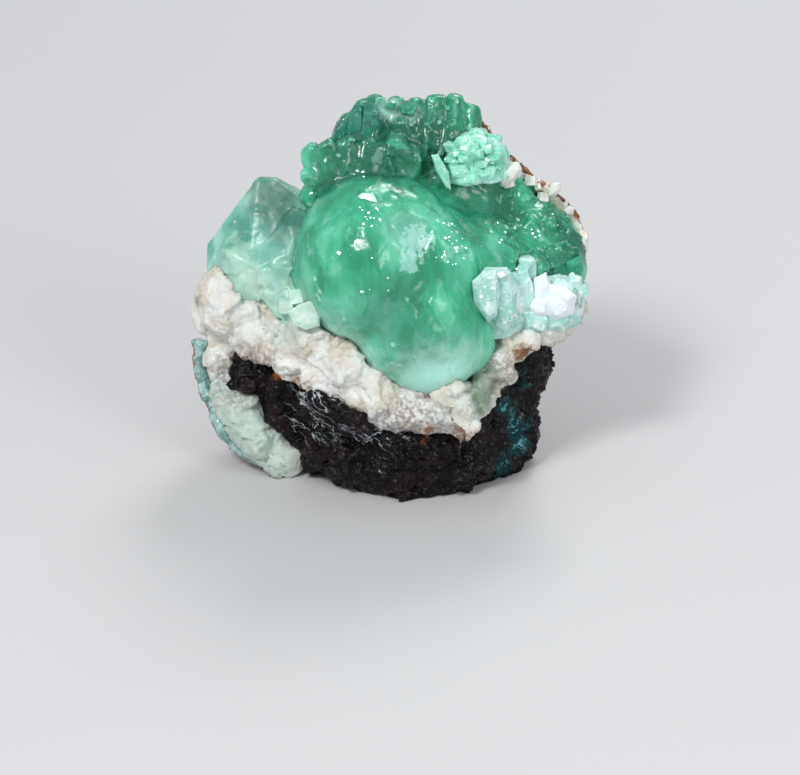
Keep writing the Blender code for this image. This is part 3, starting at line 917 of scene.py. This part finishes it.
left = {
    "skin": (0.34, 2, 0.45),
    "deep": linear(92, 166, 148),
    "middle": linear(124, 192, 174),
    "light": linear(166, 216, 202),
    "frosted": [((-30, 20, 47), 3, 0.3), ((-26, 18, 40), 3, 0.4), ((-18, 14, 40), 3, 0.4)],
    "darker": [((-23, 26, 55), 5, 0.7), ((-20, 22, 50), 4, 0.5)],
    "paler": [((-30, 17, 37), 6, 0.35), ((-22, 14, 37), 7, 0.25), ((-31, 18, 43), 4, 0.3)],
    "veil": linear(214, 236, 220),
    "frost": linear(214, 236, 220),
    "gloss": (0.3, 0.55),
    "glowReach": 1.6,
    "through": 0,
    "veilAmount": 0.45,
    "turn": (0, 20, 0),
    "facet": (2, 0.2),
    "dark": linear(40, 96, 80),
    "plateTones": (linear(196, 232, 214), linear(218, 242, 230), linear(240, 250, 245)),
    "edgeHighlightTones": (linear(200, 238, 220), linear(224, 246, 236), linear(242, 252, 248)),
    "plates": [
        ([(288, 312), (299, 304), (313, 300), (320, 309), (320, 326), (306, 330), (294, 325)], 4.4, 13),
    ],
    "blocks": [
        (297, 297, 11.4, 2.4),
        (286, 306, 12.6, 2.8),
    ],
}


def makeLeft():
    chance = random.Random(seed + 4)
    skin = denseSkin("left_skin", "apophyllite_left", *left["skin"])

    def height(place):
        lumpy = 1 if place.z < 44 and place.x > -26 else 0.2
        fine = 0.08 * ripple(place, 3, 2) + facets(place, 3.6, 0.04, 2, (1, 1, 2))
        return fine + lumpy * (facets(place, 2.4, 0.34, 3) + 0.3 * ripple(place, 2, 4))

    carve(skin, height)
    form = bmesh.new()
    gems(form, left["plates"], chance, 0.5, 0.8)
    placedBlocks(form, left["blocks"], chance)
    blocks = flatPiece("apophyllite_left_blocks", (edgeBevel("blocks", form, 0.1), 0))
    # The second material is lighter than the blocks: painted highlight along the bevelled edges
    materials = [
        milkyCrystal("left_blocks", left["plateTones"]),
        milkyCrystal("left_block_edge_highlights", left["edgeHighlightTones"]),
    ]
    dress(blocks, materials, "grey_green_apophyllite")
    piece = smoothPiece("apophyllite_left_crystal", skin)
    dress(piece, [cloudyCrystal("grey_green_left", left)], "grey_green_apophyllite", "apophyllite_left")


# The colourless blocks

pale = {
    "skin": (0.32, 6, 0.1),
    "deep": linear(156, 212, 198),
    "middle": linear(192, 230, 224),
    "light": linear(244, 251, 252),
    "veil": linear(244, 251, 252),
    "glowColour": (1, 1, 1),
    "glowReach": 0.5,
    "through": 0,
    "veilAmount": 0.6,
    "facet": (1.2, 0.5),
    "blockGloss": (0.05, 0.22),
    "clear": {
        "tint": linear(232, 246, 246),
        "gloss": (0.05, 0.22),
        "absorbed": (0.9, 0.97, 0.97, 1),
        "density": 40,
    },
    "crumbs": {"size": (1.6, 3.4), "length": (0.6, 1.1), "stand": -0.3, "lean": 30},
    "edgeHighlightTones": (linear(186, 226, 218), linear(212, 240, 236), linear(246, 252, 252)),
    "brightTones": (linear(234, 245, 250), linear(246, 251, 254), linear(254, 255, 255)),
    "glints": [
        ((484, 284), 3, 3), ((500, 300), 5, 4), ((540, 300), 5, 5), ((562, 303), 3.4, 5),
        ((525, 280), 3, 2), ((566, 296), 1.4, 1), ((500, 273), 1.2, 1),
    ],
    "glintSize": (0.15, 0.5),
    "tips": [
        ([(570, 296), (574, 287), (578, 290), (579, 305), (573, 307)], 9.8, 12),
        ([(576, 300), (580, 293), (583, 298), (582, 310), (577, 309)], 12, 15),
    ],
    "plates": [
        (
            [(472, 281), (482, 272), (496, 270), (500, 290), (497, 316), (488, 322), (474, 304)],
            3.2,
            12,
            0.75,
        ),
        ([(492, 271), (510, 270), (517, 284), (517, 318), (506, 331), (496, 326), (490, 300)], 5.6, 14, 0.7),
        ([(481, 273), (485, 267), (507, 267), (512, 274), (500, 279), (484, 278)], 4.6, 12, 0.85),
        ([(515, 300), (516, 268), (522, 260), (530, 264), (533, 296), (526, 304)], 12.5, 17, 0.6),
        ([(520, 310), (545, 308), (552, 322), (544, 332), (524, 330)], 9, 14, 0.75),
        ([(546, 314), (566, 308), (573, 320), (562, 331), (548, 330)], 9.2, 14, 0.7),
        ([(504, 300), (522, 298), (526, 320), (512, 330), (502, 322)], 8.4, 14, 0.7),
    ],
    "bright": [
        ([(531, 300), (534, 278), (546, 272), (551, 284), (546, 304)], 11, 16, 0.7),
        ([(543, 300), (550, 284), (566, 286), (577, 296), (573, 314), (556, 322), (545, 314)], 8.4, 14, 0.6),
        ([(526, 306), (536, 296), (548, 300), (548, 316), (534, 318)], 8.6, 14, 0.6),
        ([(546, 318), (562, 314), (572, 320), (564, 331), (550, 330)], 9.6, 14, 0.6),
    ],
}


def makePale():
    chance = random.Random(seed + 5)
    skin = denseSkin("pale_skin", "apophyllite_pale", *pale["skin"])
    carve(skin, lambda place: facets(place, 2.2, 0.3, 1))
    form = bmesh.new()
    gems(form, pale["plates"], chance, 1.1)
    scatterBlocks(form, skin, 40, pale["crumbs"], chance, lambda place, normal: place.y > 14)
    blocks = edgeBevel("blocks", form, 0.08)
    form = bmesh.new()
    gems(form, pale["bright"], chance, 1.3)
    bright = edgeBevel("bright", form, 0.1)
    form = bmesh.new()
    gems(form, pale["tips"], chance, 0.5, 0.6)
    tips = newPiece("tips", form)
    form = bmesh.new()
    for under in (blocks, bright):
        glints(form, under, pale, chance)
    sparks = newPiece("sparks", form)
    blocks = flatPiece("apophyllite_pale_blocks", (blocks, 0), (bright, 2), (tips, 4), (sparks, 3))
    piece = smoothPiece("apophyllite_pale_crystals", skin)
    # The edge tones are lighter than the blocks: painted highlights along the bevelled edges
    rows = {
        "pale_blocks": tonesOf(pale),
        "pale_block_edge_highlights": pale["edgeHighlightTones"],
        "bright_blocks": pale["brightTones"],
        "bright_block_edges": pale["brightTones"],
    }
    materials = [milkyCrystal(name, tones, pale["blockGloss"]) for name, tones in rows.items()]
    materials.append(clearCrystal("clear_tips", pale["clear"]))
    dress(blocks, materials, "colourless_apophyllite")
    dress(piece, [cloudyCrystal("milky_pale", pale)], "colourless_apophyllite", "apophyllite_pale")


# The white crust between the crystals and the rock

crust = {
    "skin": (0.34, 6, 0.35),
    "white": linear(228, 230, 226),
    "cream": linear(216, 208, 194),
    "mint": linear(178, 202, 190),
    "grey": linear(146, 136, 136),
    "shadow": linear(108, 96, 90),
    "rust": linear(128, 74, 30),
    "minty": [
        ((-27, 12, 8), 10, 0.8), ((-32, 15, 16), 5, 0.6), ((13, -3, 22), 4, 0.3), ((-20, 9, 35), 5, 0.6),
    ],
    "gap": [((17.6, 1.4, 22), 3.4, 0.9), ((20.4, 4, 25), 3, 0.7)],
    "gapTone": linear(112, 138, 112),
    "greyed": [
        ((-24, 12, 24), 5, 0.9), ((-12, 3, 19.6), 4, 0.7), ((4, -3, 16.5), 7, 0.9),
        ((-30, 15, 20), 6, 0.8), ((23, 4, 27), 5, 0.7),
    ],
    "rusty": [
        ((13.5, -4.5, 15), 3, 0.8), ((8, -4, 15.6), 2.4, 0.9), ((-29.7, 13, 22.6), 2.6, 1),
        ((-23.3, 11.5, 22.6), 2.4, 1), ((-17, 7.6, 22), 2, 0.8), ((27, 7, 29), 2, 0.9),
    ],
}


def makeCrust():
    skin = denseSkin("crust_skin", "zeolite_crust", *crust["skin"])

    def height(place):
        calm = 0.5 + 0.5 * blend(16, 22, place.z) * blend(-34, -26, place.x)
        lumps = 0.8 * (0.5 - cells(place, 3.6)[0]) + 0.4 * calm * (0.5 - cells(place, 1.7, 4)[0])
        blocks = facets(place, 5, 0.45, 3) + calm * facets(place, 2.4, 0.3, 6)
        inward = 0.8 * (1 - blend(-4, -1, place.y)) + 0.5 * (1 - blend(-39.5, -37, place.x))
        fine = 0.3 * craggy(place, 1.3, 2) + facets(place, 0.9, 0.25, 5)
        return lumps + blocks + calm * fine - inward

    carve(skin, height)
    piece = smoothPiece("zeolite_crust_grown", skin)
    material, n, shader = newMaterial("white_crust")
    fine = n.clouds(0.9, 5, 0.62, 0, 4)
    colour = n.mix(n.remap(n.clouds(5, 4, 0.55), 0.40, 0.60), crust["cream"], crust["white"])
    colour = spotted(n, colour, crust["minty"], crust["mint"], 0.6, 0.4)
    colour = spotted(n, colour, crust["gap"], crust["gapTone"], 0.5, 0.5)
    colour = spotted(n, colour, crust["greyed"], crust["grey"], 0.5, 0.7, 1.6, n.remap(fine, 0.40, 0.58))
    pits = n.times(n.remap(n.clouds(1.7, 5, 0.6, 0.5, 8), 0.60, 0.70), 0.35)
    colour = n.mix(pits, colour, crust["shadow"])
    n.fill(shader, {
        "Base Color": spotted(n, colour, crust["rusty"], crust["rust"], 0.3, 0.9, 1),
        "Roughness": n.remap(fine, 0.3, 0.7, (0.35, 0.65)),
        "Subsurface Weight": 0.3,
        "Subsurface Radius": (1, 0.95, 0.85),
        "Subsurface Scale": 1.2 * mm,
        "Normal": faceted(n, 0.45, 0.6, 0.16, n.bump(fine, 0.5, 0.25)),
    })
    dress(piece, [material], "white_zeolite", "zeolite_crust")


# The thin cream rim round the upper right, brown with rust on its outer side

rim = {
    "skin": (0.26, 4, 0.05),
    "lumps": [
        (
            [(498, 180), (502, 172), (511, 164), (519, 162), (522, 169), (516, 180), (506, 188), (499, 187)],
            25.6,
            32,
        ),
        ([(493, 162), (500, 158), (506, 164), (500, 170), (494, 168)], 27.6, 32),
        ([(546, 191), (552, 183), (560, 182), (562, 189), (555, 197), (548, 198)], 28, 33),
        ([(563, 210), (569, 205), (575, 208), (573, 215), (566, 217)], 28, 32),
        ([(579, 241), (584, 235), (587, 241), (586, 250), (581, 253), (578, 247)], 25, 29),
    ],
    "blocks": [
        (513, 170, 26.8, 2.2),
        (509, 183, 25.8, 1.8),
        (531, 181, 30, 2.2),
        (543, 197, 29.6, 1.8),
        (538, 187, 30.2, 1.4),
    ],
    "crumbs": {"size": (0.6, 1.4), "length": (0.6, 1), "stand": -0.2, "lean": 60},
    "cream": linear(226, 214, 196),
    "white": linear(236, 238, 232),
    "rust": linear(150, 84, 30),
    "brown": linear(74, 46, 30),
}


def makeRim():
    chance = random.Random(seed + 6)
    skin = denseSkin("rim_skin", "stilbite_rim", *rim["skin"])

    def height(place):
        return 0.3 * (0.5 - cells(place, 1.4)[0]) + facets(place, 1.2, 0.25) + 0.15 * craggy(place, 0.7)

    carve(skin, height)
    form = bmesh.new()
    gems(form, rim["lumps"], chance, 1.2, 0.62)
    placedBlocks(form, rim["blocks"], chance)
    scatterBlocks(form, skin, 36, rim["crumbs"], chance, lambda place, normal: normal.y < 0)
    blocks = flatPiece("stilbite_rim_blocks", (edgeBevel("blocks", form, 0.1), 0))
    piece = smoothPiece("stilbite_rim_grown", skin)
    material, n, shader = newMaterial("cream_rim")
    outer = n.times(n.remap(n.facing((0.55, 0.35, 0.75), 1.2), 0.20, 0.5), n.behind(29, 31))
    rusty = n.mix(n.remap(n.clouds(2.2, 4, 0.6, 0, 3), 0.42, 0.58), rim["brown"], rim["rust"])
    colour = n.mix(n.remap(n.clouds(2.5, 3), 0.4, 0.6), rim["cream"], rim["white"])
    relief = faceted(n, 0.5, 0.5, 0.15)
    n.fill(shader, {"Base Color": n.mix(outer, colour, rusty), "Roughness": 0.4, "Normal": relief})
    white, n, shader = newMaterial("white_stilbite")
    colour = n.mix(n.remap(n.clouds(1.5, 4), 0.30, 0.45), rim["cream"], rim["white"])
    n.fill(shader, {"Base Color": colour, "Roughness": 0.3, "Normal": faceted(n, 0.8, 0.4, 0.15)})
    dress(blocks, [white, white], "cream_stilbite")
    dress(piece, [material], "cream_stilbite", "stilbite_rim")


# The bluish seam at the left edge, with a thin brown skin on its outer side

seam = {
    "skin": (0.26, 5, 0.25),
    "deep": linear(104, 146, 142),
    "light": linear(164, 198, 194),
    "white": linear(218, 230, 224),
    "brown": linear(140, 82, 40),
}


def makeSeam():
    skin = denseSkin("seam_skin", "chalcedony_seam", *seam["skin"])

    def height(place):
        lumps = 0.5 * (0.5 - cells(place, 1.8)[0]) + 0.2 * craggy(place, 1)
        return lumps + facets(place, 1.5, 0.2) - 0.45

    carve(skin, height)
    piece = smoothPiece("chalcedony_seam_grown", skin)
    material, n, shader = newMaterial("blue_seam")
    tone = n.clouds(2.2, 5, 0.6, 0.8)
    colour = n.mix(n.remap(tone, 0.38, 0.56), seam["deep"], seam["light"])
    colour = n.mix(n.remap(tone, 0.56, 0.68), colour, seam["white"])
    outer = n.remap(n.facing((-0.8, 0.5, -0.2), 1), 0.22, 0.42)
    n.fill(shader, {
        "Base Color": n.mix(outer, colour, seam["brown"]),
        "Roughness": 0.16,
        "Subsurface Weight": 0.5,
        "Subsurface Radius": (0.5, 1, 1),
        "Subsurface Scale": 1 * mm,
        "Normal": faceted(n, 0.9, 0.4, 0.2),
    })
    dress(piece, [material], "blue_chalcedony", "chalcedony_seam")


# The basalt: nearly black and broken, with pale veins, teal fillings and rust where the crust meets it

basalt = {
    "skin": (0.42, 5, 0.3),
    "flatBelow": 0.35,
    "black": linear(6, 5, 7),
    "brown": linear(34, 22, 26),
    "fleckAndGlint": linear(104, 96, 102),
    "vein": linear(186, 196, 200),
    "teal": linear(14, 60, 64),
    "tealLight": linear(96, 170, 176),
    "rust": linear(150, 80, 26),
    "dust": linear(74, 60, 54),
    "weathered": (26, 34),
    "veinLean": -32,
    "veinSize": (14, 6, 2.6),
    "veinSpots": [((-12, 6, 19), 7), ((-2, 3, 16), 6), ((-16, 8, 14), 5)],
    "tealSpots": [
        ((25.7, 12.2, 10.4), 2), ((26.5, 12, 6.6), 2), ((29.4, 14, 10), 1.3), ((24.6, 8, 16.6), 2.2),
        ((9, 4, 7.6), 1.2), ((12.6, 5, 6.4), 1.3), ((22, 11, 3.6), 2.4), ((28, 9, 21), 3),
        ((26, 11, 13), 2),
    ],
    "rustSpots": [
        ((25.2, 7, 29.5), 2.4, 0.9), ((30, 11, 31.6), 2.6, 0.9), ((16, -2, 17), 1.8, 0.9),
        ((8, -2, 14.6), 2, 0.9), ((-22, 10.4, 23.4), 1.4, 0.9), ((-12, 4, 24.6), 1.6, 0.9),
    ],
}


def makeBasalt():
    skin = denseSkin("basalt_skin", "basalt_matrix", *basalt["skin"])
    before = pointArray(skin.data)

    def height(place):
        crags = 0.7 * craggy(place, 5.5, 1) + 0.5 * craggy(place, 2.4, 6) + facets(place, 2.6, 0.5, 2)
        holes = -2.2 * max(0, 0.32 - cells(place, 2.6, 3)[0])
        return crags + holes + facets(place, 1.1, 0.45, 7) + 0.12 * ripple(place, 0.6) - 0.45

    carve(skin, height)
    after = pointArray(skin.data)
    rests = before[:, 2] < basalt["flatBelow"] * mm
    after[rests] = before[rests]
    setPoints(skin, after)
    piece = smoothPiece("basalt_matrix_broken", skin)
    material, n, shader = newMaterial("dark_basalt")
    fine = n.clouds(0.7, 5, 0.65, 0, 5)
    colour = n.mix(n.remap(n.clouds(5, 5, 0.6), 0.46, 0.66), basalt["black"], basalt["brown"])
    dusty = n.remap(n.clouds(6, 5, 0.62, 1, 9), 0.50, 0.64, (0, 0.7))
    colour = n.mix(n.times(dusty, n.behind(*basalt["weathered"])), colour, basalt["dust"])
    # Grey specks: partly the rock's own flecks, partly painted highlights standing for its glossy points
    colour = n.mix(n.times(n.remap(fine, 0.60, 0.66), 0.7), colour, basalt["fleckAndGlint"])
    line = n.math("SUBTRACT", n.stretched(basalt["veinLean"], basalt["veinSize"], 4), 0.5)
    veins = n.remap(n.math("ABSOLUTE", line), 0.004, 0.016, (1, 0))
    veined = 0
    for middle, radius in basalt["veinSpots"]:
        veined = n.math("MAXIMUM", spotMask(n, middle, radius, 0.3, 0.5, 3), veined)
    colour = n.mix(n.times(veins, veined), colour, basalt["vein"])
    teal = [(middle, radius * 1.2, 0.9) for middle, radius in basalt["tealSpots"]]
    colour = spotted(n, colour, teal, basalt["teal"], 0.3, 0.8, 1.2)
    flecks = n.remap(n.clouds(1.3, 5, 0.65, 1, 2), 0.52, 0.60)
    pale = [(middle, radius, 1) for middle, radius in basalt["tealSpots"]]
    colour = spotted(n, colour, pale, basalt["tealLight"], 0.4, 0.6, 0.8, flecks)
    n.fill(shader, {
        "Base Color": spotted(n, colour, basalt["rustSpots"], basalt["rust"], 0.3, 0.8, 1.2),
        "Roughness": n.remap(fine, 0.35, 0.65, (0.16, 0.45)),
        "Specular IOR Level": 0.14,
        "Coat Weight": n.remap(n.clouds(1.2, 5, 0.65, 0, 7), 0.56, 0.66, (0, 0.6)),
        "Coat Roughness": 0.1,
        "Normal": n.bump(fine, 0.6, 0.25, faceted(n, 0.5, 0.6, 0.2)),
    })
    dress(piece, [material], "basalt", "basalt_matrix")


# Floor, lights and camera

studio = {
    "floorSize": 6,
    "floor": (0.6, 0.6, 0.61, 1),
    "sky": (0.94, 0.97, 1, 1),
    "skyStrength": 0.46,
    "lightAim": (0, 0, 0.035),
    "lights": {
        "key": (keyPlace, 0.2, 5),
        "fill": ((0.55, -0.6, 0.45), 0.35, 2),
        "back": ((0.2, 0.6, 0.6), 0.3, 2.5),
    },
}


def makeStage():
    bpy.ops.mesh.primitive_plane_add(size=studio["floorSize"], location=(0, 0, 0))
    floor = bpy.context.object
    floor.name = "floor"
    material, n, shader = newMaterial("pale_floor")
    n.fill(shader, {"Base Color": studio["floor"], "Roughness": 0.6})
    floor.data.materials.append(material)
    print("floor laid")


def areaLight(name, place, size, power):
    data = bpy.data.lights.new(name, "AREA")
    data.energy = power
    data.size = size
    lamp = bpy.data.objects.new(name, data)
    lamp.location = place
    aim = Vector(studio["lightAim"]) - Vector(place)
    lamp.rotation_euler = aim.to_track_quat("-Z", "Y").to_euler()
    bpy.context.scene.collection.objects.link(lamp)


def makeLights():
    world = bpy.data.worlds.new("soft_studio")
    bpy.context.scene.world = world
    world.use_nodes = True
    sky = world.node_tree.nodes["Background"]
    sky.inputs["Color"].default_value = studio["sky"]
    sky.inputs["Strength"].default_value = studio["skyStrength"]
    for name, row in studio["lights"].items():
        areaLight(name, *row)
    print(len(studio["lights"]), "lights set up")


def makeCamera():
    data = bpy.data.cameras.new("camera")
    data.sensor_width = view["sensor"]
    data.lens = view["lens"]
    data.clip_end = 20
    camera = bpy.data.objects.new("camera", data)
    camera.location = at(cameraPlace)
    camera.rotation_euler = (math.radians(90) - view["tilt"], 0, 0)
    bpy.context.scene.collection.objects.link(camera)
    bpy.context.scene.camera = camera
    print("camera set up")


bpy.context.scene.view_settings.view_transform = "Standard"
for make in (makeGrowth, makeCluster, makeLeft, makePale, makeCrust, makeRim, makeSeam, makeBasalt):
    make()
makeStage()
makeLights()
makeCamera()
